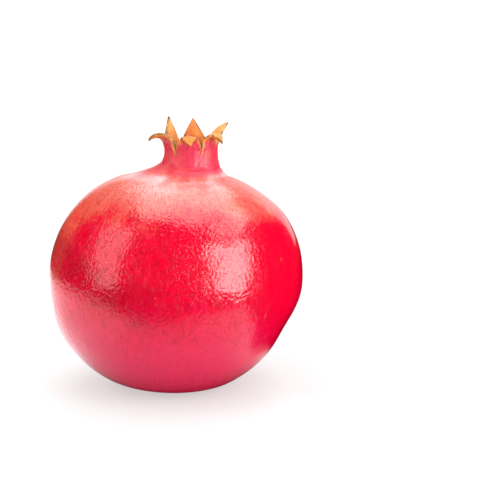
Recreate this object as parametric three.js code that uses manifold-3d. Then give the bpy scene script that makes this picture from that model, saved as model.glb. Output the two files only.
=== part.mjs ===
// A whole ripe pomegranate, standing on the flattened end where its stalk was cut.
// Millimetres, +Z up. The origin is on the table, in the middle of the fruit's width.
// The rind and the crown grew as one piece. The dried stamens in the crown and the
// woody end of the stalk are pieces of their own.
import * as THREE from "three";
import { ParametricGeometry } from "three/addons/geometries/ParametricGeometry.js";
import { mergeVertices } from "three/addons/utils/BufferGeometryUtils.js";
import Module from "manifold-3d";

// The body: heights are above the table, and places are along X.
const equatorRadius = 47.8;
const equatorHeight = 41;
const shoulderRise = 40.9; // from the equator to the top of the dome
const shoulderPower = 2.2; // over 2 makes the shoulders fuller than an ellipse
const bellyDepth = 44.6; // of the ellipse below the equator, which the table flattens
const restRadius = 11.5; // of the flat spot
const restPlace = 1.5;
const restBlendRadius = 27; // where the belly leaves the flat spot's soft edge
const equatorPlace = 0.3; // the body is a little crooked: its level rings aren't in line
const shoulderShift = -1.8; // of the top ring, against the equator
const bellyShift = -1.5; // of the bottom ring, against the equator
const ridgeHeight = 0.55; // of the soft ridges that run down from the sepals
const widening = 0.5; // how much wider the body is one way than the other
// One flatter cheek, low down: where it is, how deep, and how far it spreads each way.
const cheek = { angle: -12, height: 22, depth: 1.1, spreadAngle: 40, spreadHeight: 9 };

// The stalk and its hollow, as radius and height above the table.
const stalkPlace = 6;
const stalkHollow = [[0, 2.8], [2.8, 2.8], [3.9, 2.1], [4.35, 0.5], [4.6, 0]];
const stalkEnd = [[0, 0.6], [2.85, 0.6], [3.15, 0.85], [3.3, 1.7], [2.8, 2.5], [0, 2.5]];

// The crown.
const crownPlace = 6;
const neckRadius = 21.5; // where the dome starts to rise into the crown
const neckTop = 88.9;
const neckTightness = [9.6, 5.6]; // how long the fillet keeps to the dome, and to the tube
const tubeRadius = 10.05;
const notchHeight = 89.5; // where the crown splits into sepals
const tubeWall = 2;
const lipWall = 0.9; // at a sepal's edge
const cupFloor = 81.5;
// The cup's wall, as radius and height above its floor.
const cupWall = [[8, 5.4], [7.9, 2.6], [7.2, 0.7], [5.4, 0], [0, 0]];

// The six sepals, one after another round the crown: where each starts and how wide it
// is, in degrees, its length, the stretch of it that bends outwards and by how much, how
// far it flattens from the tube's round, how far its tip leans sideways and how it turns.
const sepals = [
  { start: -121, span: 55, length: 9, bends: [3.6, 7.2], bend: 165, flatten: 1.6, lean: 1.6, twist: 4 },
  { start: -66, span: 60, length: 9.8, bends: [2.5, 8.4], bend: 140, flatten: 1.4, lean: -0.5, twist: -8 },
  { start: -6, span: 60, length: 10.8, bends: [0, 10.8], bend: 56, flatten: 0.7, lean: 0.8, twist: 10 },
  { start: 54, span: 63, length: 10.8, bends: [2, 10.8], bend: 35, flatten: 0.5, lean: 0.8, twist: 3 },
  { start: 117, span: 61, length: 11.6, bends: [5, 11.6], bend: 6, flatten: 0.3, lean: 0.3, twist: -9 },
  { start: 178, span: 61, length: 10.4, bends: [1, 10.4], bend: 130, flatten: 1.2, lean: -0.4, twist: 7 },
];
const sepalTaper = 0.12; // how much narrower than the tube's share a sepal is at its tip

// The dried stamens: the disc they grow on, as radius and height above the cup's floor,
// and the style in the middle, as radius and height along it.
const disc = [[0, 0.35], [5.2, 0.35], [6.8, 1], [7.4, 2.3], [6.7, 3], [4.2, 2.2], [0, 2]];
const style = [[0, 0], [1, 0], [0.7, 3], [0.55, 7], [0.85, 7.9], [0.7, 8.4], [0, 8.6]];
const rootDepth = 0.6; // how far the roots are sunk into the disc
const stamenCount = 66;
const stamenRoots = [3.3, 6.6]; // nearest to and furthest from the style
const stamenLengths = [5.2, 7.3];
const filamentRadius = 0.3;
const antherRadius = 0.5;

// How finely the skin is divided.
const columnsPerSepal = 12;
const bellySteps = 11;
const shoulderSteps = 11;
const restSteps = 5;
const neckSteps = 7;
const sepalSteps = 13;

const { abs, atan2, cos, exp, floor, min, sin, sqrt, PI } = Math;
const { clamp, degToRad, lerp, smoothstep } = THREE.MathUtils;
const columns = sepals.length * columnsPerSepal;

// ---- The rind and its crown: one closed skin, ring by ring from the stalk to the cup.

// The sepal above a column of the skin, and the column's place across it, from 0 to 1.
function sepalOf(column) {
  const sepal = sepals[floor(column / columnsPerSepal) % sepals.length];
  return { sepal, share: (column % columnsPerSepal) / columnsPerSepal };
}

function columnAngle(column) {
  const { sepal, share } = sepalOf(column);
  return degToRad(sepal.start + sepal.span * share);
}

// Where the middle of the body lies at a height.
function bodyPlace(z) {
  const above = shoulderShift * smoothstep((z - equatorHeight) / shoulderRise, 0.5, 0.95);
  const below = bellyShift * smoothstep((equatorHeight - z) / equatorHeight, 0.05, 0.55);
  return equatorPlace + above + below;
}

// How far the skin stands out of a true round: the ridges, highest on the shoulder under
// each sepal and gone at the foot, the body's wider way, and its flatter cheek.
function outOfRound(column, z) {
  const ridge = -0.5 * ridgeHeight * smoothstep(z, 18, 72) * cos(2 * PI * sepalOf(column).share);
  const angle = columnAngle(column);
  const wider = widening * sin(2 * angle) * sin((PI * z) / notchHeight);
  const aside = angle - degToRad(cheek.angle);
  const across = atan2(sin(aside), cos(aside)) / degToRad(cheek.spreadAngle);
  const up = (z - cheek.height) / cheek.spreadHeight;
  return ridge + wider - cheek.depth * exp(-across * across - up * up);
}

// A ring of the skin: what it gives is the ring's point in a column.
function ring(radius, z, place) {
  return (column) => {
    const angle = columnAngle(column);
    return new THREE.Vector3(place + radius * cos(angle), radius * sin(angle), z);
  };
}

function bodyRing(radius, z, place = bodyPlace(z), roundness = 0) {
  return (column) => {
    const extra = outOfRound(column, z) * (1 - roundness);
    return ring(radius + extra, z, place)(column);
  };
}

// The hollow round the stalk, then the flat spot.
function footRings() {
  return [
    ...stalkHollow.map(([radius, z]) => ring(radius, z, stalkPlace)),
    ring((stalkHollow.at(-1)[0] + restRadius) / 2, 0, (stalkPlace + restPlace) / 2),
    ring(restRadius, 0, restPlace),
  ];
}

function bellyHeight(radius) {
  return equatorHeight - bellyDepth * sqrt(1 - (radius / equatorRadius) ** 2);
}

function bellySlope(radius) {
  const share = radius / equatorRadius;
  return (bellyDepth * share) / (equatorRadius * sqrt(1 - share * share));
}

// From the flat spot, level at first, to where the belly's ellipse begins.
function restEdgeRings() {
  const width = restBlendRadius - restRadius;
  const rings = [];
  for (let i = 1; i < restSteps; i++) {
    const t = i / restSteps;
    const rise = (3 - 2 * t) * t * t * bellyHeight(restBlendRadius);
    const z = rise + (t - 1) * t * t * width * bellySlope(restBlendRadius);
    rings.push(bodyRing(restRadius + width * t, z, lerp(restPlace, bodyPlace(0), t), 1 - t));
  }
  return rings;
}

function bellyRings() {
  const first = Math.asin(restBlendRadius / equatorRadius);
  const rings = [];
  for (let i = 0; i < bellySteps; i++) {
    const radius = equatorRadius * sin(lerp(first, PI / 2, i / bellySteps));
    rings.push(bodyRing(radius, bellyHeight(radius)));
  }
  return rings;
}

function shoulderHeight(radius) {
  const share = (radius / equatorRadius) ** shoulderPower;
  return equatorHeight + shoulderRise * (1 - share) ** (1 / shoulderPower);
}

function shoulderRings() {
  const last = Math.acos(neckRadius / equatorRadius);
  const rings = [];
  for (let i = 0; i < shoulderSteps; i++) {
    const radius = equatorRadius * cos((last * i) / shoulderSteps);
    rings.push(bodyRing(radius, shoulderHeight(radius)));
  }
  return rings;
}

// The dome turns up into the tube, which stands off to one side.
function neckRings() {
  const foot = new THREE.Vector2(neckRadius, shoulderHeight(neckRadius));
  const before = new THREE.Vector2(neckRadius + 1, shoulderHeight(neckRadius + 1));
  const inwards = foot.clone().sub(before).normalize();
  const fillet = new THREE.CubicBezierCurve(
    foot,
    foot.clone().addScaledVector(inwards, neckTightness[0]),
    new THREE.Vector2(tubeRadius, neckTop - neckTightness[1]),
    new THREE.Vector2(tubeRadius, neckTop),
  );
  const rings = [];
  for (let i = 0; i < neckSteps; i++) {
    const { x: radius, y: z } = fillet.getPoint(i / neckSteps);
    const share = (neckRadius - radius) / (neckRadius - tubeRadius);
    rings.push(bodyRing(radius, z, lerp(bodyPlace(z), crownPlace, share), share));
  }
  return rings;
}

// How high a sepal's edge is at a place across it, from -1 to 1: steep beside the notch,
// then straight to the tip.
function edgeHeight(sepal, across) {
  const left = 1 - abs(across);
  return sepal.length * (0.55 * left + 0.45 * left ** 0.4);
}

// The turn of a sepal away from upright, a distance up it.
function bendAt(sepal, up) {
  const [from, to] = sepal.bends;
  const t = clamp((up - from) / (to - from), 0, 1);
  return degToRad(sepal.bend) * 0.5 * (t + smoothstep(t, 0, 1));
}

// How far out and how high a sepal's middle line has come, a distance up it.
function middleLine(sepal, up) {
  const line = new THREE.Vector2(tubeRadius, notchHeight);
  const steps = 40;
  for (let i = 0; i < steps; i++) {
    const bend = bendAt(sepal, (up * (i + 0.5)) / steps);
    line.add(new THREE.Vector2(sin(bend), cos(bend)).multiplyScalar(up / steps));
  }
  return line;
}

// A point of a sepal: how far up it, as a share of its length, and how deep under its
// outer face, from 0 to 1 at the inner face. Above the sepal's edge it stays on the edge.
function sepalPoint(column, height, depth) {
  const { sepal, share } = sepalOf(column);
  const across = 2 * share - 1;
  const edge = edgeHeight(sepal, across);
  const up = min(height * sepal.length, edge);
  const grown = up / sepal.length;
  const wall = lerp(tubeWall, lipWall, smoothstep(up, 0.2 * edge, edge));
  const bend = bendAt(sepal, up);
  const middle = degToRad(sepal.start + sepal.span / 2);
  const outwards = new THREE.Vector3(cos(middle), sin(middle), 0);
  const along = outwards.clone().multiplyScalar(sin(bend)).setZ(cos(bend));
  const turn = degToRad(sepal.twist) * grown * grown;
  const normal = outwards.clone().multiplyScalar(cos(bend)).setZ(-sin(bend));
  normal.applyAxisAngle(along, turn);
  const sideways = new THREE.Vector3().crossVectors(along, normal);
  // The section across the sepal is an arc, which gets flatter towards the tip.
  const sectionRadius = tubeRadius * (1 + sepal.flatten * grown);
  const halfWidth = (degToRad(sepal.span) / 2) * tubeRadius * (1 - sepalTaper * grown);
  const turned = (across * halfWidth) / sectionRadius;
  const aside = (sectionRadius - wall * depth) * sin(turned) + sepal.lean * grown * grown;
  const inwards = sectionRadius * (1 - cos(turned)) + wall * depth * cos(turned);
  const line = middleLine(sepal, up);
  return new THREE.Vector3(crownPlace, 0, line.y)
    .addScaledVector(outwards, line.x)
    .addScaledVector(sideways, aside)
    .addScaledVector(normal, -inwards);
}

// Up the outside of the sepals, over their edge and down the inside.
function sepalRings() {
  const rings = [];
  for (let i = 0; i <= sepalSteps; i++) {
    rings.push((column) => sepalPoint(column, i / sepalSteps, 0));
  }
  for (let i = sepalSteps; i >= 0; i--) {
    rings.push((column) => sepalPoint(column, i / sepalSteps, 1));
  }
  return rings;
}

function cupRings() {
  return cupWall.map(([radius, z]) => ring(radius, cupFloor + z, crownPlace));
}

function makeFruit() {
  const rings = [
    ...footRings(),
    ...restEdgeRings(),
    ...bellyRings(),
    ...shoulderRings(),
    ...neckRings(),
    ...sepalRings(),
    ...cupRings(),
  ];
  const lastRing = rings.length - 1;
  return new ParametricGeometry(
    (u, v, point) => {
      const column = Math.round(u * columns) % columns;
      point.copy(rings[Math.round(v * lastRing)](column));
    },
    columns,
    lastRing,
  );
}

// ---- Closed meshes, and three.js shapes joined into one body.

// The shape with only its positions, each corner once and no collapsed triangles.
function closedMesh(geometry) {
  const plain = geometry.clone();
  plain.deleteAttribute("normal");
  plain.deleteAttribute("uv");
  const merged = mergeVertices(plain, 1e-3);
  const all = merged.index.array;
  const kept = [];
  for (let i = 0; i < all.length; i += 3) {
    const [a, b, c] = all.slice(i, i + 3);
    if (a !== b && b !== c && c !== a) {
      kept.push(a, b, c);
    }
  }
  merged.setIndex(kept);
  merged.computeVertexNormals();
  return merged;
}

const wasm = await Module();
wasm.setup();

function solidOf(geometry) {
  const { attributes, index } = closedMesh(geometry);
  return new wasm.Manifold(
    new wasm.Mesh({
      numProp: 3,
      vertProperties: attributes.position.array,
      triVerts: new Uint32Array(index.array),
    }),
  );
}

function geometryOf(solid) {
  const mesh = solid.getMesh();
  const geometry = new THREE.BufferGeometry();
  geometry.setAttribute("position", new THREE.BufferAttribute(mesh.vertProperties, 3));
  geometry.setIndex(new THREE.BufferAttribute(mesh.triVerts, 1));
  geometry.computeVertexNormals();
  return geometry;
}

// A shape turned about +Z from an outline of radius and height.
function lathed(outline, sides) {
  const points = outline.map(([radius, z]) => new THREE.Vector2(radius, z));
  return new THREE.LatheGeometry(points, sides).rotateX(PI / 2);
}

// Moves every point of a shape.
function warp(geometry, move) {
  const place = geometry.attributes.position;
  const point = new THREE.Vector3();
  for (let i = 0; i < place.count; i++) {
    move(point.fromBufferAttribute(place, i));
    place.setXYZ(i, point.x, point.y, point.z);
  }
  return geometry;
}

// ---- The tuft of dried stamens round the style, held together by the disc.

// A repeatable random draw from 0 to 1.
function randomDraws(seed) {
  let state = seed;
  return () => {
    state = (state * 16807) % 2147483647;
    return (state - 1) / 2147483646;
  };
}

function discTop(radius) {
  return cupFloor + 2 + 0.9 * smoothstep(radius, 2, 7);
}

// A rod that grows out of the disc, leaning towards the middle and to one side.
function bentRod(outline, sides, { angle, radius, lean, aside }) {
  const length = outline.at(-1)[1];
  return warp(lathed(outline, sides), (point) => {
    const bend = (point.z / length) ** 2;
    const out = radius + point.x - lean * bend;
    const across = point.y + aside * bend;
    point.x = crownPlace + out * cos(angle) - across * sin(angle);
    point.y = out * sin(angle) + across * cos(angle);
    point.z += discTop(radius) - rootDepth;
  });
}

function stamenOutline(length) {
  return [
    [0, 0],
    [filamentRadius, 0],
    [0.8 * filamentRadius, 0.5 * length],
    [0.75 * filamentRadius, length - 1.1],
    [antherRadius, length - 0.75],
    [0.8 * antherRadius, length - 0.2],
    [0, length],
  ];
}

function makeStamens() {
  const draw = randomDraws(42);
  const between = ([low, high]) => lerp(low, high, draw());
  const goldenAngle = PI * (3 - sqrt(5));
  const discShape = lathed(disc, 24).translate(crownPlace, 0, cupFloor);
  const styleShape = bentRod(style, 7, { angle: 0.6, radius: 0, lean: 0.9, aside: 0.2 });
  const pieces = [solidOf(discShape), solidOf(styleShape)];
  const [nearest, furthest] = stamenRoots;
  for (let i = 0; i < stamenCount; i++) {
    const share = (i + 0.5) / stamenCount;
    const radius = sqrt(lerp(nearest ** 2, furthest ** 2, share));
    const growth = {
      angle: i * goldenAngle + between([-0.15, 0.15]),
      radius,
      lean: (between([-0.5, 2.3]) * radius) / furthest,
      aside: between([-1.2, 1.2]),
    };
    pieces.push(solidOf(bentRod(stamenOutline(between(stamenLengths)), 5, growth)));
  }
  return geometryOf(wasm.Manifold.union(pieces));
}

// ---- The woody end of the stalk, cut off just inside its hollow.

function makeStalkEnd() {
  const shape = warp(lathed(stalkEnd, 30), (point) => {
    const angle = atan2(point.y, point.x);
    const fluting = 1 - 0.04 * (1 + sin(5 * angle + 0.7));
    point.x *= fluting;
    point.y *= fluting;
  });
  return shape.translate(stalkPlace, 0, 0);
}

// ---- The object.

function piece(name, geometry, color, roughness) {
  const material = new THREE.MeshStandardMaterial({ color, roughness, metalness: 0 });
  const mesh = new THREE.Mesh(geometry, material);
  mesh.name = name;
  return mesh;
}

const pomegranate = new THREE.Group();
pomegranate.add(
  piece("fruit", closedMesh(makeFruit()), 0xd3122f, 0.32),
  piece("stamens", makeStamens(), 0xa8743a, 0.8),
  piece("stalk_end", closedMesh(makeStalkEnd()), 0x7a5a3c, 0.85),
);

export default pomegranate;
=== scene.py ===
import math
import random
import bmesh
import bpy
from mathutils import Matrix, Vector, noise


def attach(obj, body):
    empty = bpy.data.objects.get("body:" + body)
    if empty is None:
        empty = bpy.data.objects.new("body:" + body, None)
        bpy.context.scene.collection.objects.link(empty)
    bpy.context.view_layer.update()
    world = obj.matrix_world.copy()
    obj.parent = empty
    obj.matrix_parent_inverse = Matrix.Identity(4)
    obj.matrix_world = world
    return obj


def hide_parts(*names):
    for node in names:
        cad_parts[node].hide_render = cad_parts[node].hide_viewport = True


# A whole ripe pomegranate on a pale table. The frame is in metres, and the shapes below are
# worked out in millimetres and scaled down at the end.
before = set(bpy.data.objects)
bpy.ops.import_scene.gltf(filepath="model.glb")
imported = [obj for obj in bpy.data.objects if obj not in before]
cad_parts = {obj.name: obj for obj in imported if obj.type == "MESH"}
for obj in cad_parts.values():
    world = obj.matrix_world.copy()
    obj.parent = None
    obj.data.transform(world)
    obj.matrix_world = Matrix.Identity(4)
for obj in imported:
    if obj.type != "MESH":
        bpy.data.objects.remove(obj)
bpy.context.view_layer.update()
mm = 0.001
print("frame loaded")


def link(obj):
    bpy.context.scene.collection.objects.link(obj)
    return obj


# The camera.

viewpoint = {
    "place": (27.9, -438.5, 136.3),
    "tilt": 11,  # degrees down from level
    "lens": 85,
    "sensor": 36,
}


def makeCamera():
    data = bpy.data.cameras.new("camera")
    data.lens = viewpoint["lens"]
    data.sensor_width = viewpoint["sensor"]
    camera = link(bpy.data.objects.new("camera", data))
    camera.location = Vector(viewpoint["place"]) * mm
    camera.rotation_euler = (math.radians(90 - viewpoint["tilt"]), 0, 0)
    bpy.context.scene.camera = camera


makeCamera()
print("camera placed")


# Small tools for numbers and outlines.


def mix(first, second, share):
    return first + (second - first) * share


def smooth(value, low, high):
    share = min(max((value - low) / (high - low), 0), 1)
    return share * share * (3 - 2 * share)


def rounded(outline, times=2, cut=0.25):  # cuts an outline's corners, and keeps its ends
    points = [Vector(point) for point in outline]
    for _ in range(times):
        inner = []
        for first, second in zip(points, points[1:]):
            inner += [first.lerp(second, cut), first.lerp(second, 1 - cut)]
        points = [points[0]] + inner + [points[-1]]
    return points


def between(low, high, count, last=False):  # numbers from low to high, the last one if asked
    steps = [mix(low, high, i / count) for i in range(count)]
    return steps + [high] if last else steps


def noiseRound(angle, radius, height):  # noise that closes up round a ring
    return noise.noise(Vector((radius * math.cos(angle), radius * math.sin(angle), height)))


# The body and the crown: heights are above the table, and places are along X.

body = {
    "equatorRadius": 47.8,
    "equatorHeight": 41,
    "shoulderRise": 40.9,
    "shoulderPower": 2.2,
    "bellyDepth": 44.6,
    "restRadius": 11.5,  # of the flat spot that it stands on
    "restPlace": 1.5,
    "restBlendRadius": 27,
    "equatorPlace": 0.3,
    "shoulderShift": -1.8,
    "shoulderShiftSpan": (0.5, 0.95),  # shares of the way up from the equator
    "bellyShift": -1.5,
    "bellyShiftSpan": (0.05, 0.55),  # shares of the way down
    "ridgeHeight": 0.9,
    "ridgeSpan": (18, 72),  # heights where the ridges under the sepals start and are full
    "widening": 0.5,
    "cheekAngle": -12,
    "cheekHeight": 22,
    "cheekDepth": 1.1,
    "cheekSpread": (40, 9),  # degrees round, and millimetres up
    "stalkPlace": 6,
    "stalkHollow": [(0, 2.8), (2.8, 2.8), (3.9, 2.1), (4.35, 0.5), (4.6, 0)],
    "dents": [(13, 0.16), (5.5, 0.05), (2.6, 0.02)],  # size and depth of the skin's low relief
    "dentsStart": (1, 12),  # heights where the relief starts and is full
    "dentsEnd": (4, -6),  # rises over the neck's foot where it ends, and where it is full
}

crown = {
    "place": 6,
    "neckRadius": 21.5,
    "neckTop": 88.9,
    "neckTightness": (9.6, 5.6),
    "tubeRadius": 10.05,
    "notchHeight": 89.5,
    "tubeWall": 2,
    "lipWall": 0.9,
    "wallSpan": (0.2, 1),  # shares of the way to the edge where the wall thins
    "lipRounding": 0.4,
    "lipShare": 0.3,  # the most of a sepal's height that its lip may take
    "cupFloor": 81.5,
    "cupWall": [(8, 5.4), (7.9, 2.6), (7.2, 0.7), (5.4, 0), (0, 0)],
    "taper": 0.12,
    "outlinePower": 0.25,  # of the full part of a sepal's outline
    "curlFrom": 0.7,  # share of a sepal's length where its tip starts to curl
    "tubeRidge": 0.1,  # the tube is a little six-sided, flattest under the notches
    # wrinkles up the tube, from this share of the way up the neck, and onto the sepals
    "grooves": {"depth": 0.12, "round": 9, "up": 0.12, "start": 0.4, "end": 3},
    # how far the dry sepals are warped, and how fine the warps are
    "waves": {"depth": 0.3, "across": 1.6, "up": 0.32},
    "fibres": {"depth": 0.07, "across": 14, "up": 0.3, "full": 2},
    # the notches run down the tube as narrow slits, with a dry margin of their own
    "slit": {"depth": 1.5, "heights": (88, 89), "width": 0.9, "side": 0.91},
    "slitMargin": {"across": 1.4, "down": 3, "foot": 88.6},
    "brownNotch": 0.8,  # the edges are brownest in the notches, up to these heights
    "brownNotchSpan": (1.2, 3.5),
    "farFromEdge": 20,  # down in the cup
    # a crease round the neck's foot, deepest in front
    "crease": {"height": 83.5, "tilt": 1.2, "width": 0.5, "depth": 0.6, "even": 0.6, "front": 0.4,
               "wander": 0.5, "wanderNoise": (2, 4), "patchy": 0.5, "patchyNoise": (3, 9)},
}

# Where each sepal starts and how wide it is, in degrees, its length, how full its outline is,
# the stretch of it that bends outwards and by how much, how far its tip curls, how far it
# flattens, how its tip leans and turns, the width of its golden margin, how pale it has dried
# and how brown its tip is.
sepals = [
    {"start": -121, "span": 55, "length": 7.6, "fullness": 0.65, "bends": (3.3, 5.8), "bend": 157,
     "curl": 0, "flatten": 1.2, "lean": 1.3, "twist": 1, "margin": 0.4,
     "paleness": 0.5, "brownness": 0},
    {"start": -66, "span": 60, "length": 9.8, "fullness": 0.45, "bends": (2.8, 8), "bend": 144,
     "curl": 0, "flatten": 1.4, "lean": -0.5, "twist": -8, "margin": 1,
     "paleness": 0.5, "brownness": 1},
    {"start": -6, "span": 60, "length": 10.8, "fullness": 0.3, "bends": (0, 10.8), "bend": 67,
     "curl": 0, "flatten": 0.7, "lean": 0.8, "twist": 34, "margin": 1,
     "paleness": 0.7, "brownness": 0.6},
    {"start": 54, "span": 63, "length": 10.8, "fullness": 0.3, "bends": (2, 10.8), "bend": 35,
     "curl": 0, "flatten": 0.5, "lean": 0.8, "twist": 3, "margin": 1,
     "paleness": 0.1, "brownness": 1},
    {"start": 117, "span": 61, "length": 11.6, "fullness": 0.25, "bends": (5, 11.6), "bend": 6,
     "curl": 0, "flatten": 0.3, "lean": 0.3, "twist": -9, "margin": 1,
     "paleness": 0.8, "brownness": 1},
    {"start": 178, "span": 61, "length": 10.7, "fullness": 0.35, "bends": (1, 7.5), "bend": 90,
     "curl": 60, "flatten": 2, "lean": -0.4, "twist": 50, "margin": 1,
     "paleness": 0.7, "brownness": 1},
]

# How many rows of faces each stretch of the skin has, and how many columns go round it.
skinRows = {"flat": 6, "edge": 14, "belly": 42, "shoulder": 46, "neck": 44, "sepal": 32, "lip": 6}
columnsPerSepal = 48
columns = columnsPerSepal * len(sepals)


def sepalAt(column):  # the sepal over a column, and the column's place across it, -1 to 1
    sepal = sepals[column // columnsPerSepal % len(sepals)]
    return sepal, 2 * (column % columnsPerSepal) / columnsPerSepal - 1


def columnAngle(column):
    sepal, across = sepalAt(column)
    return math.radians(sepal["start"] + sepal["span"] * (across + 1) / 2)


def bodyPlace(z):
    above = (z - body["equatorHeight"]) / body["shoulderRise"]
    below = (body["equatorHeight"] - z) / body["equatorHeight"]
    shoulderShift = body["shoulderShift"] * smooth(above, *body["shoulderShiftSpan"])
    bellyShift = body["bellyShift"] * smooth(below, *body["bellyShiftSpan"])
    return body["equatorPlace"] + shoulderShift + bellyShift


def outOfRound(column, z):  # ridges under the sepals, the body's wider way, and its flat cheek
    across = sepalAt(column)[1]
    ridge = body["ridgeHeight"] / 2 * smooth(z, *body["ridgeSpan"]) * math.cos(math.pi * across)
    angle = columnAngle(column)
    wider = body["widening"] * math.sin(2 * angle) * math.sin(math.pi * z / crown["notchHeight"])
    spreadAngle, spreadHeight = body["cheekSpread"]
    aside = angle - math.radians(body["cheekAngle"])
    aside = math.atan2(math.sin(aside), math.cos(aside)) / math.radians(spreadAngle)
    up = (z - body["cheekHeight"]) / spreadHeight
    return ridge + wider - body["cheekDepth"] * math.exp(-aside * aside - up * up)


def grooves(column, z):  # wrinkles up the tube and the sepals, and the tube's six sides
    groove = crown["grooves"]
    wrinkle = noiseRound(columnAngle(column), groove["round"], z * groove["up"])
    sides = crown["tubeRidge"] * math.cos(math.pi * sepalAt(column)[1])
    return groove["depth"] * wrinkle + sides


def slit(column, z):
    cut = crown["slit"]
    beside = smooth(abs(sepalAt(column)[1]), cut["side"], 1)
    return cut["depth"] * beside * smooth(z, *cut["heights"])


def crease(column, z):
    dip = crown["crease"]
    angle = columnAngle(column)
    above = z - dip["height"] + dip["tilt"] * math.cos(angle)
    above -= dip["wander"] * noiseRound(angle, *dip["wanderNoise"])
    share = dip["even"] - dip["front"] * math.sin(angle)
    share += dip["patchy"] * noiseRound(angle, *dip["patchyNoise"])
    return dip["depth"] * max(share, 0) * math.exp(-(above / dip["width"]) ** 2)


def ring(radius, z, place):
    def point(column):
        angle = columnAngle(column)
        return Vector((place + radius * math.cos(angle), radius * math.sin(angle), z))

    return point


def bodyRing(radius, z, place=None, roundness=0):
    centre = bodyPlace(z) if place is None else place
    grooved = smooth(roundness, crown["grooves"]["start"], 1)

    def point(column):
        extra = outOfRound(column, z) * (1 - roundness) + grooves(column, z) * grooved
        return ring(radius + extra - slit(column, z) - crease(column, z), z, centre)(column)

    return point


def footRings():  # the hollow round the stalk, then the flat spot
    rings = [ring(point.x, point.y, body["stalkPlace"]) for point in rounded(body["stalkHollow"])]
    hollowRadius = body["stalkHollow"][-1][0]
    for share in between(0, 1, skinRows["flat"], True)[1:]:
        radius = mix(hollowRadius, body["restRadius"], share)
        rings.append(ring(radius, 0, mix(body["stalkPlace"], body["restPlace"], share)))
    return rings


def bellyHeight(radius):
    share = radius / body["equatorRadius"]
    return body["equatorHeight"] - body["bellyDepth"] * math.sqrt(1 - share * share)


def restEdgeRings():  # from the flat spot to where the belly's ellipse begins
    outer = body["restBlendRadius"]
    width = outer - body["restRadius"]
    share = outer / body["equatorRadius"]
    slope = body["bellyDepth"] * share / (body["equatorRadius"] * math.sqrt(1 - share * share))
    rings = []
    for t in between(0, 1, skinRows["edge"])[1:]:
        z = (3 - 2 * t) * t * t * bellyHeight(outer) + (t - 1) * t * t * width * slope
        place = mix(body["restPlace"], bodyPlace(0), t)
        rings.append(bodyRing(body["restRadius"] + width * t, z, place, 1 - t))
    return rings


def bellyRings():
    first = math.asin(body["restBlendRadius"] / body["equatorRadius"])
    turns = between(first, math.pi / 2, skinRows["belly"])
    radii = [body["equatorRadius"] * math.sin(turn) for turn in turns]
    return [bodyRing(radius, bellyHeight(radius)) for radius in radii]


def shoulderHeight(radius):
    share = (radius / body["equatorRadius"]) ** body["shoulderPower"]
    return body["equatorHeight"] + body["shoulderRise"] * (1 - share) ** (1 / body["shoulderPower"])


def shoulderRings():
    last = math.acos(crown["neckRadius"] / body["equatorRadius"])
    turns = between(0, last, skinRows["shoulder"])
    radii = [body["equatorRadius"] * math.cos(turn) for turn in turns]
    return [bodyRing(radius, shoulderHeight(radius)) for radius in radii]


def neckRings():  # the dome turns up into the tube, which stands off to one side
    foot = Vector((crown["neckRadius"], shoulderHeight(crown["neckRadius"])))
    before = Vector((crown["neckRadius"] + 1, shoulderHeight(crown["neckRadius"] + 1)))
    inwards = (foot - before).normalized()
    top = Vector((crown["tubeRadius"], crown["neckTop"]))
    atFoot, atTop = crown["neckTightness"]
    handles = [foot, foot + inwards * atFoot, top - Vector((0, atTop)), top]
    rings = []
    for t in between(0, 1, skinRows["neck"]):
        weights = ((1 - t) ** 3, 3 * t * (1 - t) ** 2, 3 * t * t * (1 - t), t ** 3)
        radius, z = sum((w * handle for w, handle in zip(weights, handles)), Vector((0, 0)))
        share = (crown["neckRadius"] - radius) / (crown["neckRadius"] - crown["tubeRadius"])
        rings.append(bodyRing(radius, z, mix(bodyPlace(z), crown["place"], share), share))
    return rings


def edgeHeight(sepal, across):
    left = 1 - abs(across)
    return sepal["length"] * mix(left, left ** crown["outlinePower"], sepal["fullness"])


def edgeDistance(sepal, across, up):  # roughly how far a point of the sepal is from its edge
    left = max(1 - abs(across), 0.02)  # not 0, where the outline is upright
    halfWidth = math.radians(sepal["span"] / 2) * crown["tubeRadius"]
    power = crown["outlinePower"]
    slope = sepal["length"] * mix(1, power * left ** (power - 1), sepal["fullness"]) / halfWidth
    return (edgeHeight(sepal, across) - up) / math.sqrt(1 + slope * slope)


def slitDistance(column, z):
    sepal, across = sepalAt(column)
    margin = crown["slitMargin"]
    aside = (1 - abs(across)) * math.radians(sepal["span"] / 2) * crown["tubeRadius"]
    below = max(margin["foot"] - z, 0)
    return math.hypot(aside * margin["across"], margin["down"] * below) / sepal["margin"]


def bendAt(sepal, up):  # half of the bend is even, and half is tightest in its middle
    start, end = sepal["bends"]
    share = min(max((up - start) / (end - start), 0), 1)
    curl = sepal["curl"] * smooth(up, crown["curlFrom"] * sepal["length"], sepal["length"])
    return math.radians(0.5 * sepal["bend"] * (share + smooth(share, 0, 1)) + curl)


def middleLine(sepal, up):  # how far out and how high a sepal's middle has come
    steps = 40
    line = Vector((crown["tubeRadius"], crown["notchHeight"]))
    for i in range(steps):
        bend = bendAt(sepal, up * (i + 0.5) / steps)
        line += Vector((math.sin(bend), math.cos(bend))) * (up / steps)
    return line


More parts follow.
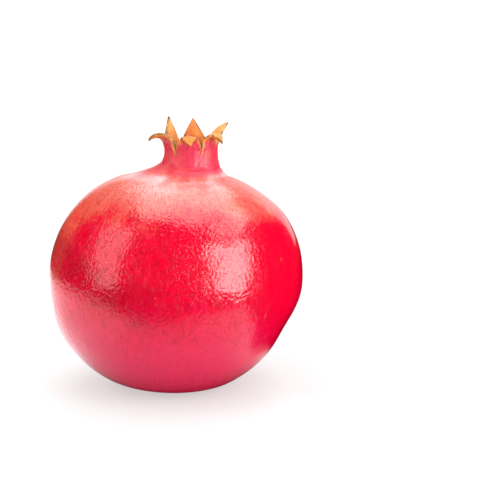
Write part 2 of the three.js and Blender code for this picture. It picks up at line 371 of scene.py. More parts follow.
def sepalPoint(column, up, depth):  # up from the notch, and depth from 0 outside to 1 inside
    sepal, across = sepalAt(column)
    edge = edgeHeight(sepal, across)
    grown = up / sepal["length"]
    thinned = smooth(up / edge, *crown["wallSpan"]) if edge else 0
    wall = mix(crown["tubeWall"], crown["lipWall"], thinned)
    bend = bendAt(sepal, up)
    middle = math.radians(sepal["start"] + sepal["span"] / 2)
    outwards = Vector((math.cos(middle), math.sin(middle), 0))
    along = outwards * math.sin(bend) + Vector((0, 0, math.cos(bend)))
    normal = outwards * math.cos(bend) - Vector((0, 0, math.sin(bend)))
    normal.rotate(Matrix.Rotation(math.radians(sepal["twist"]) * grown * grown, 3, along))
    sideways = along.cross(normal)
    sectionRadius = crown["tubeRadius"] * (1 + sepal["flatten"] * grown)
    halfWidth = math.radians(sepal["span"] / 2) * crown["tubeRadius"] * (1 - crown["taper"] * grown)
    turned = across * halfWidth / sectionRadius
    aside = (sectionRadius - wall * depth) * math.sin(turned) + sepal["lean"] * grown * grown
    inwards = sectionRadius * (1 - math.cos(turned)) + wall * depth * math.cos(turned)
    inwards -= warped(column, sepal, across, up)
    out, height = middleLine(sepal, up)
    middlePoint = Vector((crown["place"], 0, height)) + outwards * out
    return middlePoint + sideways * aside - normal * inwards


def warp(kind, sepal, across, up):
    spot = Vector((across * kind["across"], up * kind["up"], sepal["start"]))
    return kind["depth"] * noise.noise(spot)


def warped(column, sepal, across, up):  # the same for both faces of a sepal
    wave = warp(crown["waves"], sepal, across, up) * up / sepal["length"]
    fibre = warp(crown["fibres"], sepal, across, up) * smooth(up, 0, crown["fibres"]["full"])
    groove = grooves(column, crown["notchHeight"]) * (1 - smooth(up, 0, crown["grooves"]["end"]))
    return wave + fibre + groove


def sepalRows():  # (share up to the rounded lip, turn over the lip in radians, inside or not)
    up = between(0, 1, skinRows["sepal"], True)
    rows = [(share, 0) for share in up]
    rows += [(1, turn) for turn in between(0, math.pi, skinRows["lip"])[1:]]
    return rows + [(share, math.pi) for share in reversed(up)]


def sepalRing(share, turn):
    def point(column):
        return sepalPoint(column, upAt(column, share, turn), (1 - math.cos(turn)) / 2)

    return point


def upAt(column, share, turn):
    sepal, across = sepalAt(column)
    edge = edgeHeight(sepal, across)
    rounding = min(crown["lipRounding"], crown["lipShare"] * edge)
    return (edge - rounding) * share + rounding * math.sin(turn)


def spunGrid(rows, steps):  # a tube one across, with a row of corners at each whole height
    grid = bmesh.new()
    ends = [grid.verts.new((1, 0, height)) for height in (0, rows - 1)]
    bmesh.ops.subdivide_edges(grid, edges=[grid.edges.new(ends)], cuts=rows - 2)
    bmesh.ops.spin(
        grid, geom=grid.verts[:] + grid.edges[:], cent=(0, 0, 0), axis=(0, 0, 1),
        angle=2 * math.pi, steps=steps, use_merge=True,
    )
    return grid


def gridPlace(vert, steps):  # the column and the row of a corner of the spun tube
    turn = math.atan2(vert.co.y, vert.co.x) / (2 * math.pi)
    return round(turn * steps) % steps, round(vert.co.z)


def finishMesh(grid, name, material, mergedWithin=0.002):  # facing outwards, in metres
    bmesh.ops.remove_doubles(grid, verts=grid.verts, dist=mergedWithin)
    bmesh.ops.recalc_face_normals(grid, faces=grid.faces)
    bmesh.ops.scale(grid, vec=(mm, mm, mm), verts=grid.verts)
    for face in grid.faces:
        face.smooth = True
    mesh = bpy.data.meshes.new(name)
    grid.to_mesh(mesh)
    grid.free()
    mesh.materials.append(material)
    return link(bpy.data.objects.new(name, mesh))


def dentSkin(grid, strength):  # low relief, as deep at each corner as strength says
    grid.normal_update()
    for vert in grid.verts:
        depth = strength(vert)
        if depth > 0:
            relief = sum(size * noise.noise(vert.co / width) for width, size in body["dents"])
            vert.co += vert.normal * relief * depth


def makeFruit(material):
    bodyRings = footRings() + restEdgeRings() + bellyRings() + shoulderRings() + neckRings()
    rows = sepalRows()
    cup = [ring(p.x, crown["cupFloor"] + p.y, crown["place"]) for p in rounded(crown["cupWall"])]
    rings = bodyRings + [sepalRing(*row) for row in rows] + cup
    firstSepalRow = len(bodyRings)
    firstCupRow = firstSepalRow + len(rows)
    # how far along the skin each row of the body lies, measured up one column
    runs = [0]
    for lower, upper in zip(rings, rings[1:firstSepalRow + 1]):
        runs.append(runs[-1] + (upper(0) - lower(0)).length)
    neckRun = runs[firstSepalRow - skinRows["neck"]]
    notchRun = runs[firstSepalRow]

    grid = spunGrid(len(rings), columns)
    meridian = grid.verts.layers.float_vector.new("meridian")  # direction round, distance along
    crownPlace = grid.verts.layers.float_vector.new("crown")  # rise over the neck, inside, edge
    grownUp = grid.verts.layers.float.new("grown")  # share of the sepal's length
    driedSkin = grid.verts.layers.float_vector.new("dried")  # its sepal's paleness and brownness
    for vert in grid.verts:
        column, row = gridPlace(vert, columns)
        angle = columnAngle(column)
        sepal, across = sepalAt(column)
        vert.co = rings[row](column)
        if row < firstSepalRow:
            run, grown, inner = runs[row], 0, 0
            edge = slitDistance(column, vert.co.z) - crown["slit"]["width"] / 2
        elif row < firstCupRow:
            share, turn = rows[row - firstSepalRow]
            up = upAt(column, share, turn)
            run, grown, inner = notchRun + up, up / sepal["length"], (1 - math.cos(turn)) / 2
            edge = max(edgeDistance(sepal, across, up), 0) / sepal["margin"]
            edge -= crown["brownNotch"] * (1 - smooth(up, *crown["brownNotchSpan"]))
        else:
            run, grown, inner = notchRun - (crown["notchHeight"] - vert.co.z), 0, 1
            edge = crown["farFromEdge"]
        vert[meridian] = Vector((math.cos(angle), math.sin(angle), run * mm))
        vert[crownPlace] = Vector((run - neckRun, inner, edge))
        vert[grownUp] = grown
        vert[driedSkin] = Vector((sepal["paleness"], sepal["brownness"], 0))

    def relief(vert):
        rise = vert[crownPlace].x
        return smooth(vert.co.z, *body["dentsStart"]) * smooth(rise, *body["dentsEnd"])

    dentSkin(grid, relief)
    return finishMesh(grid, "fruit_skin", material)


# Tools for materials: sums on wires add Math nodes.


class Wire:
    def __init__(self, tree, socket=None):
        self.tree = tree
        self.socket = socket

    def node(self, kind, settings, sockets, *outputs):
        node = self.tree.nodes.new("ShaderNode" + kind)
        for name, value in settings.items():
            setattr(node, name, value)
        for name, value in sockets.items():
            if isinstance(value, Wire):
                self.tree.links.new(value.socket, node.inputs[name])
            else:
                node.inputs[name].default_value = value
        wires = [Wire(self.tree, node.outputs[name]) for name in outputs]
        return wires[0] if len(wires) == 1 else wires

    def maths(self, operation, *values):
        return self.node("Math", {"operation": operation}, dict(enumerate(values)), 0)

    def __add__(self, other):
        return self.maths("ADD", self, other)

    def __sub__(self, other):
        return self.maths("SUBTRACT", self, other)

    def __rsub__(self, other):
        return self.maths("SUBTRACT", other, self)

    def __mul__(self, other):
        return self.maths("MULTIPLY", self, other)

    def __abs__(self):
        return self.maths("ABSOLUTE", self)

    __radd__ = __add__
    __rmul__ = __mul__


def step(wire, low, high, most=1):  # from 0 at low to most at high, whichever of them is larger
    ends = {1: low, 2: high, 3: 0, 4: most} if low < high else {1: high, 2: low, 3: most, 4: 0}
    return wire.node("MapRange", {"interpolation_type": "SMOOTHSTEP"}, {0: wire, **ends}, 0)


def marked(row, wire, *frays):  # the mask of a marking, from its row of numbers
    low, high, most, *weights = row
    for weight, fray in zip(weights, frays, strict=True):
        wire = wire + weight * fray
    return step(wire, low, high, most)


def paint(mask, under, over):  # one colour over another
    return mask.node("Mix", {"data_type": "RGBA"}, {0: mask, 6: under, 7: over}, 2)


def attribute(start, name, output="Vector"):
    return start.node("Attribute", {"attribute_name": name}, {}, output)


def objectPlace(start):
    return start.node("TexCoord", {}, {}, "Object")


def apart(place, *axes):  # some of a place's three numbers
    return place.node("SeparateXYZ", {}, {0: place}, *axes)


def withVector(place, operation, vector, output):
    return place.node("VectorMath", {"operation": operation}, {0: place, 1: vector}, output)


def stretched(place, by):  # coordinates times three numbers
    return withVector(place, "MULTIPLY", by, 0)


def cloudy(place, scale, detail=2, roughness=0.5):  # soft noise from 0 to 1
    sockets = {"Vector": place, "Scale": scale, "Detail": detail, "Roughness": roughness}
    return place.node("TexNoise", {}, sockets, 0)


def drawnOut(along, radius, length, *noiseSettings):  # noise that follows the skin upwards
    return cloudy(stretched(along, (radius, radius, length)), *noiseSettings)


def spots(place, scale):  # distance to the nearest spot, and a number for each spot
    near, colour = place.node("TexVoronoi", {}, {"Vector": place, "Scale": scale}, 0, 1)
    return near, colour.node("SeparateColor", {}, {0: colour}, 0)


def newMaterial(name):
    material = bpy.data.materials.new(name)
    material.use_nodes = True
    material.node_tree.nodes.clear()
    return material, Wire(material.node_tree)


def finishMaterial(start, sockets, height):  # height is in millimetres
    bumps = start.node("Bump", {}, {"Height": height, "Distance": mm, "Strength": 1}, 0)
    surface = start.node("BsdfPrincipled", {}, {**sockets, "Normal": bumps}, 0)
    start.node("OutputMaterial", {}, {"Surface": surface})


def rgb(red, green, blue):
    return (red, green, blue, 1)


rind = {
    "crimson": rgb(0.54, 0.0003, 0.017),
    "scarlet": rgb(0.57, 0.0004, 0.019),
    "rose": rgb(0.54, 0.0025, 0.050),
    "orange": rgb(0.58, 0.075, 0.044),
    "pink": rgb(0.60, 0.12, 0.100),
    "yellow": rgb(0.62, 0.21, 0.100),
    "wine": rgb(0.22, 0.0004, 0.008),
    "maroon": rgb(0.33, 0.0006, 0.012),
    # pink marbling, partly the skin's own mottling and partly painted sheen
    "sheenAndMottle": rgb(0.60, 0.040, 0.085),
    # the colour of the painted highlights beside the neck and in front of its foot
    "paintedHighlight": rgb(0.62, 0.40, 0.39),
    "dot": rgb(0.50, 0.12, 0.045),
    "tube": rgb(0.56, 0.009, 0.046),
    "ember": rgb(0.58, 0.045, 0.028),
    "golden": rgb(0.60, 0.17, 0.004),
    "straw": rgb(0.64, 0.30, 0.060),
    "brown": rgb(0.10, 0.030, 0.011),
    "russet": rgb(0.30, 0.11, 0.035),
    "orangeCheek": (-0.036, -0.010, 0.047),  # where the skin is palest, with z shortened
    "cheekShape": (1, 1, 0.7),
    "shadeBeltSlope": 0.47,  # the belt of painted shade slants down to the right over the front
    "shadeBeltHeight": 0.035,
    "warmPlace": 0.006,  # the tube is warmer to the left of here
    "speckle": (3, 2),  # how much the flecks and the mottling count in the speckle
    "calmRose": 0.8,  # how much less rose and relief there is on the calm right side
    "calmRelief": 0.7,
    "lowerMarbling": 0.6,
    "goldenFlecks": (0.1, 1.5),  # an even share, and how much it varies
    # painted shade: how far the belt turns to wine, evenly and with the mottling
    "shadeBeltWine": (0.45, 1.6),
    "fleckCrowding": (0.4, 0.5),  # an even share, and what the belt of painted shade adds
    "poreDarkness": 0.3,
    "pitDarkness": 0.8,
    "tubeDarkness": 0.3,
    "neckLumps": 0.3,  # how much of the lumps' height is left over the neck
    "dotScale": 300,
    "pitScale": 640,
    "pitShape": (1, 1, 0.75),
    "refraction": 1.47,
    "roughness": 0.115,
    "mottledRoughness": 0.25,
    "streakedRoughness": 0.2,
    "calmRoughness": 0.05,  # this one is taken away
    "neckRoughness": 0.1,
    "tubeRoughness": 0.2,
    "dryRoughness": 0.26,
    "poreRoughness": 0.05,
    "lumps": 0.1,  # heights of the bumps, in millimetres
    "peel": 0.105,
    "pores": 0.02,
    "pits": 0.07,
    "wrinkles": 0.03,
    "fibres": 0.12,
    # noise through the whole fruit: its scale, detail and roughness
    "noise": {
        "clouds": (30, 3, 0.5),
        "mottling": (110, 4, 0.6),
        "lumps": (420, 1, 0.5),
        "peel": (1000, 1, 0.5),
    },
    # noise that follows the skin: how fine it is round the fruit and up the skin, then its
    # scale, detail and roughness
    "grain": {
        "flecks": (47.8, 560, 1.1, 3, 0.7),
        "fineFlecks": (47.8, 450, 2, 2, 0.7),
        "threads": (47.8, 420, 0.55, 3, 0.6),
        "streaks": (47.8, 100, 0.4, 3, 0.6),
        "marbling": (47.8, 380, 0.75, 3, 0.6),
        "wrinkles": (47.8, 130, 1.2, 1, 0.5),
        "fibre": (10, 120, 2.2, 3, 0.6),
    },
    # The markings: where each starts and is full, how strong it is, and how much each thing
    # that frays it counts. Places and heights are in metres, rises over the neck's foot and
    # distances from an edge in millimetres, and the rest are sums of noise and markings.
    "marks": {
        "scarlet": (0.35, 0.7, 1, 0.3),
        "lower": (0.046, 0.022, 1, 0.012),  # the rosier lower half
        "calm": (0.026, 0.040, 1),  # the smooth, even right side
        # the pink marbling, partly mottling and partly painted sheen
        "sheenAndMottle": (0.55, 0.68, 0.28),
        "marbledWine": (0.47, 0.36, 0.4),
        "cheek": (0.026, 0.010, 1, 0.03),
        "rightShoulder": (0.005, 0.03, 1),
        "nearCrown": (-23, -7, 1, 30, 7),
        "pale": (0.3, 1.1, 1, 1),
        "paleEdge": (0, 0.3, 1),
        "pink": (0.4, 1.3, 0.7, 0.5),
        "yellow": (0.1, 0.7, 0.7, 2),
        "underNeck": (5, 1, 1),
        "golden": (-13, -6, 1, 12),
        # where the painted highlights lie, beside the neck and in front of its foot
        "neckFoot": (0.5, 6, 1, 8),
        "neckTop": (13, 10, 1),
        "besideNeck": (0.005, 0.010, 0.8),
        "belowNeck": (-7, -3, 1, 6),
        "inFront": (-0.006, -0.014, 1),
        "besideBelow": (0.018, 0.010, 0.35),
        # the belt of painted shade across the front
        "shadeBeltSide": (0.006, -0.014, 1),
        "shadeBeltFront": (-0.004, -0.020, 1),
        "shadeBelt": (0.012, 0.002, 1, 0.02),
        "crowded": (0.42, 0.58, 0.5, 0.6),
        "faint": (0.038, 0.020, 0.7, 0.012),  # the flecks fade low down
        "fineFlecks": (0.50, 0.62, 0.35),
        "flecks": (0.54, 0.66, 0.3),
        "threads": (0.035, 0.010, 0.45),
        "streaks": (0.5, 0.65, 0.2),
        "pores": (0.56, 0.64, 1),
        "dots": (0.13, 0.05, 0.35),
        "dotShare": (0.5, 0.6, 1),  # which of the spots show
        "pits": (0.24, 0.10, 1, 0.2),
        "pitShare": (0.45, 0.5, 1),
        "warm": (0.45, 0.65, 0.7, -9),
        "onTube": (6, 12, 1),
        "margin": (1.5, 0.3, 1, 6, 2),
        "tipwards": (0.2, 0.85, 1, 1.2, 1),
        "inside": (0.3, 0.8, 1),
        "dry": (0, 1, 1, 1, 2),
        "straw": (0.38, 0.66, 1, 1, 0.4),
        "warmFoot": (0.6, 0.15, 0.4, 2, 1),
        "brownEdge": (0.35, -0.1, 1, 3, 1.5),
        "brownRim": (0.15, -0.3, 1),
        "brownTip": (0.9, 1.03, 1, 1.5),
        "brown": (0, 1.1, 1, 0.7),
        "underneath": (0.018, 0.006, 0.5, 0.016, 0.012),
        "scuffed": (0.011, 0.004, 0.8, 0.012, 0.006),
        "onBody": (6, -12, 1),
        "nearNeck": (-18, -3, 1),
        "onSepals": (0, 0.2, 1),
    },
}


def mark(name, wire, *frays):
    return marked(rind["marks"][name], wire, *frays)


def rindMaterial():
    material, start = newMaterial("pomegranateRind")
    place = objectPlace(start)
    sideways, depth, height = apart(place, 0, 1, 2)
    along = attribute(start, "meridian")
    rise, inner, edge = apart(attribute(start, "crown"), 0, 1, 2)
    grown = attribute(start, "grown", "Fac")
    paleness, brownness = apart(attribute(start, "dried"), 0, 1)
    clouds, mottling, lumps, peel = (cloudy(place, *row) for row in rind["noise"].values())
    flecks, fineFlecks, threads, streaks, marbling, wrinkles, fibre = (
        drawnOut(along, *row) for row in rind["grain"].values())
    # the same about zero, to fray edges with
    clouded, mottled, grainy, frayed = (wire - 0.5 for wire in (clouds, mottling, flecks, fibre))
    speckle = rind["speckle"][0] * grainy + rind["speckle"][1] * mottled

    # crimson, rosier on the lower half, and marbled except on the calm right side, with pink
    # marbling that is partly the skin's mottling and partly painted sheen
    colour = paint(mark("scarlet", clouds, speckle), rind["crimson"], rind["scarlet"])
    lower = mark("lower", height, speckle)
    calm = mark("calm", sideways)
    colour = paint(lower * (1 - rind["calmRose"] * calm), colour, rind["rose"])
    marbled = (1 - calm) * (1 - rind["lowerMarbling"] * lower)
    colour = paint(mark("sheenAndMottle", marbling) * marbled, colour, rind["sheenAndMottle"])
    colour = paint(mark("marbledWine", marbling) * marbled, colour, rind["wine"])

    # paler on one cheek and round the crown
    cheekPlace = stretched(place, rind["cheekShape"])
    cheekDistance = withVector(cheekPlace, "DISTANCE", rind["orangeCheek"], "Value")
    cheek = mark("cheek", cheekDistance, clouded)
    rightShoulder = mark("rightShoulder", sideways)
    nearCrown = mark("nearCrown", rise, clouded, rightShoulder)
    lightened = cheek + nearCrown
    pale = mark("pale", lightened, speckle) * mark("paleEdge", lightened)
    colour = paint(pale, colour, rind["orange"])
    colour = paint(mark("pink", nearCrown, speckle), colour, rind["pink"])
    colour = paint(mark("yellow", speckle, nearCrown - 1), colour, rind["yellow"])
    underNeck = mark("underNeck", rise)
    golden = mark("golden", rise, mottled) * underNeck
    even, varied = rind["goldenFlecks"]
    colour = paint(golden * (even + varied * grainy), colour, rind["yellow"])

    # painted highlights: pale pink patches on both sides of the neck, and in front of its foot
    beside = abs(sideways - crown["place"] * mm)
    foot = mark("neckFoot", rise, mottled) * mark("neckTop", rise)
    colour = paint(foot * mark("besideNeck", beside), colour, rind["paintedHighlight"])
    below = mark("belowNeck", rise, mottled) * underNeck * mark("inFront", depth)
    colour = paint(below * mark("besideBelow", beside), colour, rind["paintedHighlight"])

    # dark flecks all over, crowded closer in a belt of painted shade across the front, and small
    # pale dots
    slanted = withVector(place, "DOT_PRODUCT", (rind["shadeBeltSlope"], 0, 1), "Value")
    front = mark("shadeBeltSide", sideways) * mark("shadeBeltFront", depth)
    shadeBelt = mark("shadeBelt", abs(slanted - rind["shadeBeltHeight"]), clouded) * front
    even, added = rind["fleckCrowding"]
    crowded = even + mark("crowded", clouds, mottled) + added * shadeBelt
    faint = 1 - mark("faint", height, speckle)
    dark = mark("fineFlecks", fineFlecks) + mark("flecks", flecks)
    dark += mark("threads", abs(threads - 0.5)) + mark("streaks", streaks)
    pores = mark("pores", fineFlecks)
    # painted shade: the belt is darkened towards wine
    even, varied = rind["shadeBeltWine"]
    colour = paint(shadeBelt * (even + varied * mottled), colour, rind["wine"])
    flecked = dark * crowded + pores * rind["poreDarkness"]
    colour = paint(flecked * faint, colour, rind["maroon"])
    nearDot, eachDot = spots(place, rind["dotScale"])
    dots = mark("dots", nearDot) * mark("dotShare", eachDot) * (1 - calm)
    colour = paint(dots, colour, rind["dot"])

    # dark pits, which show as specks where the skin shines
    nearPit, eachPit = spots(stretched(place, rind["pitShape"]), rind["pitScale"])
    pits = mark("pits", nearPit, mottled) * mark("pitShare", eachPit) * faint
    colour = paint(pits * rind["pitDarkness"], colour, rind["maroon"])

    # the tube is an even pink red, and warmer on the left
    warm = mark("warm", mottling, sideways - rind["warmPlace"])
    tubeColour = paint(warm, rind["tube"], rind["ember"])
    onTube = mark("onTube", rise)
    tubeColour = paint(dark * rind["tubeDarkness"], tubeColour, rind["wine"])
    colour = paint(onTube, colour, tubeColour)

    # the sepals turn golden, then brown at their edges
    margin = mark("margin", edge, mottled, frayed)
    tipwards = mark("tipwards", grown, frayed, mottled)
    inside = mark("inside", inner)
    dry = mark("dry", margin, tipwards, inside)
    strawShare = mark("straw", fibre, mottled, paleness - 0.5)
    dryColour = paint(strawShare, rind["golden"], rind["straw"])
    warmFoot = mark("warmFoot", grown, mottled, frayed) * inside
    colour = paint(dry, colour, paint(warmFoot, dryColour, rind["ember"]))
    patchyEdge = mark("brownEdge", edge, mottled, frayed)
    brownEdge = step(patchyEdge + mark("brownRim", edge), 0, 1)
    brownTip = mark("brownTip", grown, mottled) * brownness
    colour = paint(mark("brown", brownTip, brownEdge), colour, rind["brown"])

    # orange underneath, and russet round the stalk
    fromStalk = withVector(place, "DISTANCE", (body["stalkPlace"] * mm, 0, 0), "Value")
    underneath = mark("underneath", fromStalk, mottled, clouded)
    colour = paint(underneath, colour, rind["orange"])
    scuffed = mark("scuffed", fromStalk, mottled, fineFlecks - 0.5)
    colour = paint(scuffed, colour, rind["russet"])

    onBody = mark("onBody", rise)
    smoother = 1 - rind["calmRelief"] * calm
    lumpy = rind["neckLumps"] + (1 - rind["neckLumps"]) * onBody
    relief = (lumps * rind["lumps"] * lumpy + peel * rind["peel"]
              - pits * rind["pits"] - pores * rind["pores"])
    folds = wrinkles * rind["wrinkles"] * onBody
    fibres = fibre * rind["fibres"] * mark("onSepals", grown)
    roughness = (rind["roughness"] + mottled * rind["mottledRoughness"]
                 + (streaks - 0.5) * rind["streakedRoughness"] - calm * rind["calmRoughness"]
                 + onTube * rind["tubeRoughness"] + pores * rind["poreRoughness"]
                 + mark("nearNeck", rise) * rind["neckRoughness"]
                 + dry * rind["dryRoughness"])
    sockets = {"Base Color": colour, "Roughness": roughness, "IOR": rind["refraction"]}
    finishMaterial(start, sockets, relief * smoother + folds + fibres)
    return material


fruit = makeFruit(rindMaterial())
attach(fruit, "root")
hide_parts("fruit")
print("fruit made:", len(fruit.data.polygons), "faces")


# The dried stamens and the style, on the disc that they grew from.

tuft = {
    "disc": [(0, 0.35), (5.2, 0.35), (6.8, 1), (7.4, 2.3), (6.7, 3), (4.2, 2.2), (0, 2)],
    "discSteps": 72,
    "discRelief": [(1.3, 0.12), (3, 0.06)],  # how fine it is, and how high
    "style": [(0, 0), (1, 0), (0.7, 3), (0.55, 7), (0.85, 7.9), (0.7, 8.4), (0, 8.6)],
    "styleSteps": 14,
    "styleGrowth": {"angle": 0.6, "radius": 0, "lean": 0.9, "aside": 0.2, "curl": 0, "phase": 0},
    "floor": 2,  # the disc's height in its middle, and how it rises towards its rim
    "floorRise": 0.9,
    "floorSpan": (2, 7),
    "rootDepth": 0.6,
    "count": 240,
    "steps": 5,
    "roots": (2.6, 6.9),  # nearest to and furthest from the style
    "jitter": 0.15,
    "lean": (-0.5, 2.3),
    "aside": 1.2,
    "phases": (0, 6),
    "lengths": (5, 7.2),
    "filament": 0.14,
    # a filament's corners as shares of its thickness and its length
    "filamentOutline": [(1, 0), (0.8, 0.35), (0.75, 0.7)],
    "tipThickness": 0.7,
    "anther": 0.38,
    "antherDepths": (1.1, 0.8, 0.25),  # under its tip: its foot, and where it is full
    "curl": 0.5,
    "curlTurn": 5,
    "curlAside": 0.7,
    "seed": 5,
    "rust": rgb(0.26, 0.075, 0.022),
    "tan": rgb(0.46, 0.22, 0.075),
    "pollen": rgb(0.34, 0.19, 0.05),
    "roughness": 0.7,
    "patchNoise": (700, 3),
    "tanMark": (0.35, 0.65, 1),
    "pollenMark": (0.8, 0.88, 1),
    "bumpNoise": (2500, 2),
    "bumps": 0.08,
}


def lathed(shape, outline, steps):  # turns an outline of radius and height, and gives its corners
    known = len(shape.verts)
    corners = [shape.verts.new((radius, 0, height)) for radius, height in outline]
    edges = [shape.edges.new(pair) for pair in zip(corners, corners[1:])]
    bmesh.ops.spin(
        shape, geom=corners + edges, cent=(0, 0, 0), axis=(0, 0, 1),
        angle=2 * math.pi, steps=steps, use_merge=True,
    )
    return shape.verts[known:]


def growRod(shape, outline, steps, growth, grown):  # leans inwards and aside, and curls a little
    length = outline[-1][1]
    angle, radius = growth["angle"], growth["radius"]
    floor = crown["cupFloor"] + tuft["floor"] - tuft["rootDepth"]
    floor += tuft["floorRise"] * smooth(radius, *tuft["floorSpan"])
    for vert in lathed(shape, outline, steps):
        share = vert.co.z / length
        bend = share * share
        wave = growth["curl"] * share * math.sin(growth["phase"] + tuft["curlTurn"] * share)
        out = radius + vert.co.x - growth["lean"] * bend + wave
        across = vert.co.y + growth["aside"] * bend + wave * tuft["curlAside"]
        x = crown["place"] + out * math.cos(angle) - across * math.sin(angle)
        y = out * math.sin(angle) + across * math.cos(angle)
        vert[grown] = share
        vert.co = (x, y, vert.co.z + floor)


def stamenOutline(length):
    thick, anther = tuft["filament"], tuft["anther"]
    foot, low, high = (length - depth for depth in tuft["antherDepths"])
    filament = [(wide * thick, up * length) for wide, up in tuft["filamentOutline"]]
    tip = [(tuft["tipThickness"] * thick, foot), (anther, low), (anther, high), (0, length)]
    return [(0, 0)] + filament + tip


def makeStamens(material):
    draw = random.Random(tuft["seed"])
    shape = bmesh.new()
    grown = shape.verts.layers.float.new("grown")
    discOutline = [(point.x, crown["cupFloor"] + point.y) for point in rounded(tuft["disc"])]
    relief = tuft["discRelief"]
    for vert in lathed(shape, discOutline, tuft["discSteps"]):
        vert.co.x += crown["place"]
        vert.co.z += sum(height * noise.noise(vert.co * fine) for fine, height in relief)
    growRod(shape, rounded(tuft["style"]), tuft["styleSteps"], tuft["styleGrowth"], grown)
    nearest, furthest = tuft["roots"]
    goldenAngle = math.pi * (3 - math.sqrt(5))
    for i in range(tuft["count"]):
        radius = math.sqrt(mix(nearest ** 2, furthest ** 2, (i + 0.5) / tuft["count"]))
        growth = {
            "angle": i * goldenAngle + draw.uniform(-tuft["jitter"], tuft["jitter"]),
            "radius": radius,
            "lean": draw.uniform(*tuft["lean"]) * radius / furthest,
            "aside": draw.uniform(-tuft["aside"], tuft["aside"]),
            "curl": draw.uniform(0, tuft["curl"]),
            "phase": draw.uniform(*tuft["phases"]),
        }
        outline = stamenOutline(draw.uniform(*tuft["lengths"]))
        growRod(shape, outline, tuft["steps"], growth, grown)
    return finishMesh(shape, "dried_stamens", material)


def stamenMaterial():
    material, start = newMaterial("driedStamens")
    place = objectPlace(start)
    grown = attribute(start, "grown", "Fac")
    patches = cloudy(place, *tuft["patchNoise"])
    colour = paint(marked(tuft["tanMark"], patches), tuft["rust"], tuft["tan"])
    colour = paint(marked(tuft["pollenMark"], grown), colour, tuft["pollen"])
    bumps = cloudy(place, *tuft["bumpNoise"]) * tuft["bumps"]
    finishMaterial(start, {"Base Color": colour, "Roughness": tuft["roughness"]}, bumps)
    return material


stamens = makeStamens(stamenMaterial())
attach(stamens, "root")
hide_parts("stamens")
print("stamens made:", len(stamens.data.polygons), "faces")


# The woody end of the stalk, cut off just inside its hollow.

stalk = {
    "outline": [(0, 0.6), (0.8, 0.6), (1.6, 0.6), (2.3, 0.6), (2.85, 0.6), (3.15, 0.85), (3.3, 1.7),
                (2.8, 2.5), (0, 2.5)],
    "steps": 96,
    "flutes": 5,
    "fluting": 0.04,
    "flutePhase": 0.7,
    "relief": {"fineness": 1.8, "height": 0.1, "fade": (2.4, 1.2)},
    "bark": rgb(0.20, 0.105, 0.05),
    "wood": rgb(0.50, 0.34, 0.17),
    "ring": rgb(0.30, 0.17, 0.075),
    "pith": rgb(0.16, 0.08, 0.035),
    "roughness": 0.85,
    "grainNoise": (900, 3, 0.6),
    "ringTurn": 9000,  # radians in a metre
    "ringWobble": 3,
    "ringMark": (-0.2, 0.9, 0.7),  # start, full, strength, and how much the grain frays it
    "pithMark": (0.0009, 0.0006, 1, 0.0004),
    "barkMark": (0.0028, 0.0031, 1, 0.0004),
    "ringBumps": 0.03,
    "grainBumps": 0.12,
}


def makeStalkEnd(material):
    shape = bmesh.new()
    relief = stalk["relief"]
    for vert in lathed(shape, rounded(stalk["outline"]), stalk["steps"]):
        angle = math.atan2(vert.co.y, vert.co.x)
        wave = math.sin(stalk["flutes"] * angle + stalk["flutePhase"])
        fluting = 1 - stalk["fluting"] * (1 + wave)
        rough = relief["height"] * noise.noise(vert.co * relief["fineness"])
        vert.co.z += rough * smooth(vert.co.z, *relief["fade"])
        vert.co.x = vert.co.x * fluting + body["stalkPlace"]
        vert.co.y *= fluting
    return finishMesh(shape, "stalk_wood", material)


def stalkMaterial():
    material, start = newMaterial("stalkWood")
    toMiddle = {0: objectPlace(start), 1: (-body["stalkPlace"] * mm, 0, 0)}
    centred = start.node("Mapping", {"vector_type": "POINT"}, toMiddle, 0)
    flat = stretched(centred, (1, 1, 0))
    out = flat.node("VectorMath", {"operation": "LENGTH"}, {0: flat}, "Value")
    grain = cloudy(flat, *stalk["grainNoise"])
    rings = flat.maths("SINE", out * stalk["ringTurn"] + grain * stalk["ringWobble"])
    colour = paint(marked(stalk["ringMark"], rings), stalk["wood"], stalk["ring"])
    colour = paint(marked(stalk["pithMark"], out, grain), colour, stalk["pith"])
    colour = paint(marked(stalk["barkMark"], out, grain), colour, stalk["bark"])
    bumps = rings * stalk["ringBumps"] + grain * stalk["grainBumps"]
    finishMaterial(start, {"Base Color": colour, "Roughness": stalk["roughness"]}, bumps)
    return material


stalkEnd = makeStalkEnd(stalkMaterial())
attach(stalkEnd, "root")
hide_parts("stalk_end")
print("stalk end made:", len(stalkEnd.data.polygons), "faces")


# Lights, the table and the white beyond it.

# Each softbox: its middle, its width and height, what it faces, its turn in degrees, how bright
# it is in reflections, and how bright it is for what is matt.
softboxes = {
    "overhead": {"place": (20, 285, 600), "size": (520, 850), "faces": (20, 285, 0), "roll": -4,
                 "shine": 4.9, "glow": 3},
    "link": {"place": (420, 10, 600), "size": (250, 500), "faces": (420, 10, 0), "roll": 12,
             "shine": 5.8, "glow": 0},
    "window": {"place": (392, -285, 196), "size": (250, 448), "faces": (0, 0, 76), "roll": -9.3,
               "shine": 11.2, "glow": 8.8},
    "side": {"place": (-409, -201, 260), "size": (220, 540), "faces": (0, 0, 60), "roll": 13.8,
             "shine": 3.2, "glow": 3.5},
    "behind": {"place": (60, 800, 180), "size": (780, 360), "faces": (60, 0, 180), "roll": 0,
               "shine": 0.95, "glow": 1},
}

table = {
    "corners": ((-420, -140), (190, 420)),
    "colour": rgb(0.31, 0.31, 0.31),
    "roughness": 0.8,
    "glow": 0.5,  # it is lit from below too
    "reliefScale": 60,
    "relief": 0.02,
}

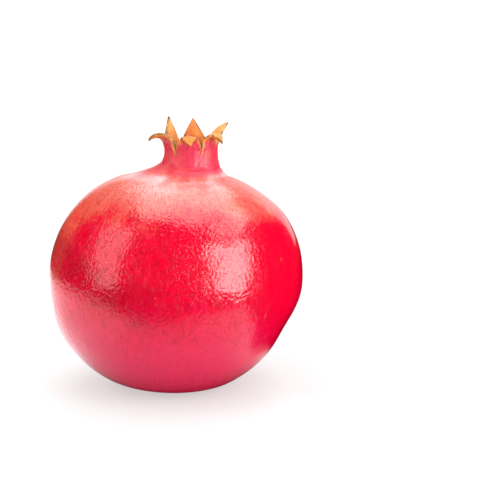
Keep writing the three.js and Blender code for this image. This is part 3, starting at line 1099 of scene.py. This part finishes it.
# The fruit's shine shows another sheet in place of the table, which glows with painted light:
# brightest at the sides, with a painted shadow under the fruit and painted shade in front of it and
# on the right.
# Its marks are distances in metres, with how strong each is.
tableShine = {
    "corners": ((-420, -200), (190, 420)),
    "glow": 1.9,
    "darkWay": (0.588, 0.809, 0),  # the way to the painted shade on the right
    "darkStart": (0.006, 0.018, 1),
    "darkRight": (-0.02, 0.02, 1),
    "darkOut": (0.038, 0.052, 1),
    "brightOut": (0.018, 0.056, 1),
    "brightEnd": (0.32, 0.2, 1),
    "brightFront": (-0.13, -0.078, 1),
    "brightSides": (0.015, 0.08, 0.5),
    "brightMiddle": 0.5,
}

surroundings = {"seen": 1.2, "fill": 1.32, "mirrored": 0.01}


def makeLamp(name, light, bright):
    width, depth = (side * mm for side in light["size"])
    data = bpy.data.lights.new(name, "AREA")
    data.shape = "RECTANGLE"
    data.size = width
    data.size_y = depth
    data.energy = bright * math.pi * width * depth
    lamp = link(bpy.data.objects.new(name, data))
    lamp.location = Vector(light["place"]) * mm
    towards = (Vector(light["faces"]) - Vector(light["place"])).normalized()
    lamp.rotation_euler = towards.to_track_quat("-Z", "Y").to_euler()
    lamp.rotation_euler.rotate_axis("Z", math.radians(light["roll"]))
    lamp.visible_camera = False
    return lamp


def makeSoftbox(name, light):  # one lamp for reflections, and one for what is matt
    makeLamp(name + " shine", light, light["shine"]).visible_diffuse = False
    if light["glow"]:
        makeLamp(name + " glow", light, light["glow"]).visible_glossy = False


def makeSheet(name, low, high, material):  # a flat sheet
    sheet = bmesh.new()
    bmesh.ops.create_grid(sheet, x_segments=1, y_segments=1, size=1)
    half, middle = (high - low) / 2, (low + high) / 2
    bmesh.ops.scale(sheet, vec=(half.x, half.y, 1), verts=sheet.verts)
    bmesh.ops.translate(sheet, vec=(middle.x, middle.y, 0), verts=sheet.verts)
    mesh = bpy.data.meshes.new(name)
    sheet.to_mesh(mesh)
    sheet.free()
    mesh.materials.append(material)
    obj = link(bpy.data.objects.new(name, mesh))
    return obj


def tableMaterial():
    material, start = newMaterial("paleTable")
    sockets = {"Base Color": table["colour"], "Roughness": table["roughness"],
               "Emission Color": rgb(1, 1, 1), "Emission Strength": table["glow"]}
    relief = cloudy(objectPlace(start), table["reliefScale"]) * table["relief"]
    finishMaterial(start, sockets, relief)
    return material


def tableShineMaterial():
    material, start = newMaterial("tableShine")
    place = objectPlace(start)
    sideways, depth = apart(place, 0, 1)
    out = place.node("VectorMath", {"operation": "LENGTH"}, {0: place}, "Value")
    towards = withVector(place, "DOT_PRODUCT", tableShine["darkWay"], "Value")
    # painted shade towards the right, and a painted shadow close under the fruit and in front of it
    dark = (marked(tableShine["darkStart"], towards) * marked(tableShine["darkRight"], sideways)
            * marked(tableShine["darkOut"], out))
    reached = marked(tableShine["brightOut"], out) * marked(tableShine["brightEnd"], out)
    reached = reached * marked(tableShine["brightFront"], depth)
    sides = tableShine["brightMiddle"] + marked(tableShine["brightSides"], abs(sideways))
    colour = paint(reached * (1 - dark) * sides, rgb(0, 0, 0), rgb(1, 1, 1))
    glow = start.node("Emission", {}, {"Color": colour, "Strength": tableShine["glow"]}, 0)
    start.node("OutputMaterial", {}, {"Surface": glow})
    return material


def makeTable():
    low, high = (Vector(corner) * mm for corner in table["corners"])
    makeSheet("table", low, high, tableMaterial()).visible_glossy = False
    low, high = (Vector(corner) * mm for corner in tableShine["corners"])
    mirrored = makeSheet("table shine", low, high, tableShineMaterial())
    mirrored.visible_camera = mirrored.visible_diffuse = mirrored.visible_shadow = False


def makeSurroundings():  # white where the camera looks, a soft fill, and dim in reflections
    world = bpy.data.worlds.new("studio")
    world.use_nodes = True
    world.node_tree.nodes.clear()
    start = Wire(world.node_tree)
    seen, soft = start.node("LightPath", {}, {}, "Is Camera Ray", "Is Diffuse Ray")
    strength = seen * surroundings["seen"] + soft * surroundings["fill"] + surroundings["mirrored"]
    light = start.node("Background", {}, {"Color": rgb(1, 1, 1), "Strength": strength}, 0)
    start.node("OutputWorld", {}, {"Surface": light})
    bpy.context.scene.world = world
    bpy.context.scene.view_settings.view_transform = "Standard"


for name, light in softboxes.items():
    makeSoftbox(name, light)
makeTable()
makeSurroundings()
print("lights and table placed")
